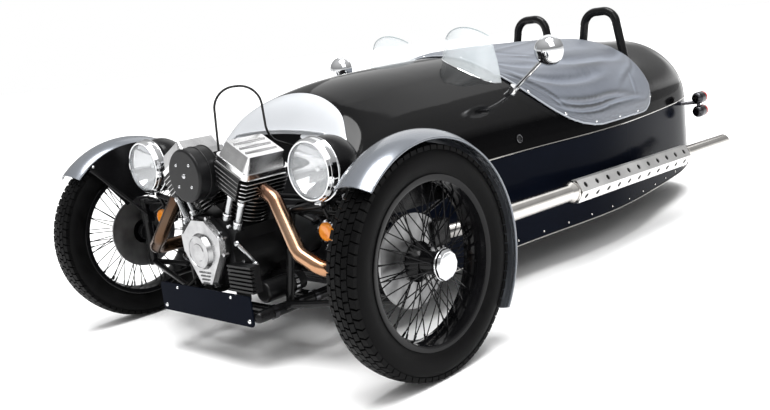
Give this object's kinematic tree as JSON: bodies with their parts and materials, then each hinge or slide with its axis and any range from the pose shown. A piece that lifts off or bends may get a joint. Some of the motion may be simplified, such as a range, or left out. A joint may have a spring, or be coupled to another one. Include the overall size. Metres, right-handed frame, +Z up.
{
  "type": "three wheeled car",
  "caption": "Open three wheeled sports car with an exposed V twin in front, steered wire wheels, rounded tail over one driven wheel and a cloth cockpit cover.",
  "frame": {"origin": "on the ground below the middle of the overall length and width", "axes": "+X forward, +Y to the left of the driver, +Z up"},
  "size_m": [3.225, 1.72, 1.01],
  "materials": {
    "gloss_black_paint": "gloss",
    "dark_navy_paint": "gloss",
    "silver_paint": "gloss",
    "grey_paint": "satin",
    "black_frame_paint": "satin",
    "black_sheet": "matte",
    "tonneau_cloth": "matte",
    "screen_glass": "polished",
    "lamp_glass": "polished",
    "amber_lens": "gloss",
    "red_lens": "gloss",
    "chrome_trim": "polished",
    "mirror_face": "polished",
    "engine_black": "satin",
    "cast_alloy": "satin",
    "header_bronze": "satin",
    "polished_steel": "polished",
    "damper_steel": "satin",
    "disc_steel": "brushed",
    "cable_rubber": "matte",
    "tyre_rubber": "matte"
  },
  "bodies": {
    "chassis": {"bonnet": "gloss_black_paint", "cockpit_surround": "gloss_black_paint", "tail_deck": "gloss_black_paint", "tail_dome": "gloss_black_paint", "side_panel_left": "dark_navy_paint", "side_panel_right": "dark_navy_paint", "tail_skirt": "dark_navy_paint", "skid_plate": "dark_navy_paint", "nose_cowl": "silver_paint", "chassis_frame": "black_frame_paint", "roll_hoops": "black_frame_paint", "wishbones": "black_frame_paint", "headlamp_shells": "black_frame_paint", "indicator_bodies": "black_frame_paint", "swing_arm": "black_frame_paint", "rack_housing": "black_frame_paint", "floor_pan": "black_sheet", "front_bulkhead": "black_sheet", "rear_bulkhead": "black_sheet", "tonneau_cover": "tonneau_cloth", "windscreens": "screen_glass", "headlamp_lenses": "lamp_glass", "indicator_lenses": "amber_lens", "rear_lamp_lenses": "red_lens", "mirrors": "chrome_trim", "headlamp_rims": "chrome_trim", "rear_lamp_bodies": "chrome_trim", "rocker_covers": "chrome_trim", "cam_cover": "chrome_trim", "pushrod_tubes": "chrome_trim", "mirror_glasses": "mirror_face", "cylinders": "engine_black", "crankcase": "engine_black", "air_cleaner": "engine_black", "oil_filter": "engine_black", "regulator": "engine_black", "intake": "engine_black", "gearbox": "cast_alloy", "exhaust_headers": "header_bronze", "silencers": "polished_steel", "heat_shields": "polished_steel", "dampers": "damper_steel", "rear_dampers": "damper_steel", "springs": "damper_steel", "throttle_cable": "cable_rubber"},
    "rack": {"steering_rack": "black_frame_paint"},
    "upright_left": {"knuckle_left": "black_frame_paint", "mudguard_left": "grey_paint", "guard_stay_left": "black_frame_paint"},
    "upright_right": {"knuckle_right": "black_frame_paint", "mudguard_right": "grey_paint", "guard_stay_right": "black_frame_paint"},
    "road_wheel_left": {"tyre_front_left": "tyre_rubber", "wire_wheel_left": "gloss_black_paint", "brake_disc_left": "disc_steel"},
    "road_wheel_right": {"tyre_front_right": "tyre_rubber", "wire_wheel_right": "gloss_black_paint", "brake_disc_right": "disc_steel"},
    "road_wheel_rear": {"tyre_rear": "tyre_rubber", "wheel_rear": "cast_alloy"}
  },
  "joints": [
    {"name": "steer_left", "type": "hinge", "parent": "chassis", "child": "upright_left", "pos_m": [1.2695, 0.69, 0.343], "axis": [0, 0, 1], "range_deg": [-26, 26]},
    {"name": "steer_right", "type": "hinge", "parent": "chassis", "child": "upright_right", "pos_m": [1.2695, -0.69, 0.343], "axis": [0, 0, 1], "range_deg": [-26, 26]},
    {"name": "rack_slide", "type": "slide", "parent": "chassis", "child": "rack", "axis": [0, -1, 0], "range_m": [-0.0702, 0.0702]},
    {"name": "spin_left", "type": "hinge", "parent": "upright_left", "child": "road_wheel_left", "pos_m": [1.2695, 0.77, 0.343], "axis": [0, 1, 0], "continuous": true},
    {"name": "spin_right", "type": "hinge", "parent": "upright_right", "child": "road_wheel_right", "pos_m": [1.2695, -0.77, 0.343], "axis": [0, 1, 0], "continuous": true},
    {"name": "spin_rear", "type": "hinge", "parent": "chassis", "child": "road_wheel_rear", "pos_m": [-1.1305, 0, 0.312], "axis": [0, 1, 0], "continuous": true}
  ],
  "couplings": [
    {"joint": "steer_right", "follows": "steer_left", "ratio": 1},
    {"joint": "rack_slide", "follows": "steer_left", "m_per_rad": 0.15457}
  ]
}
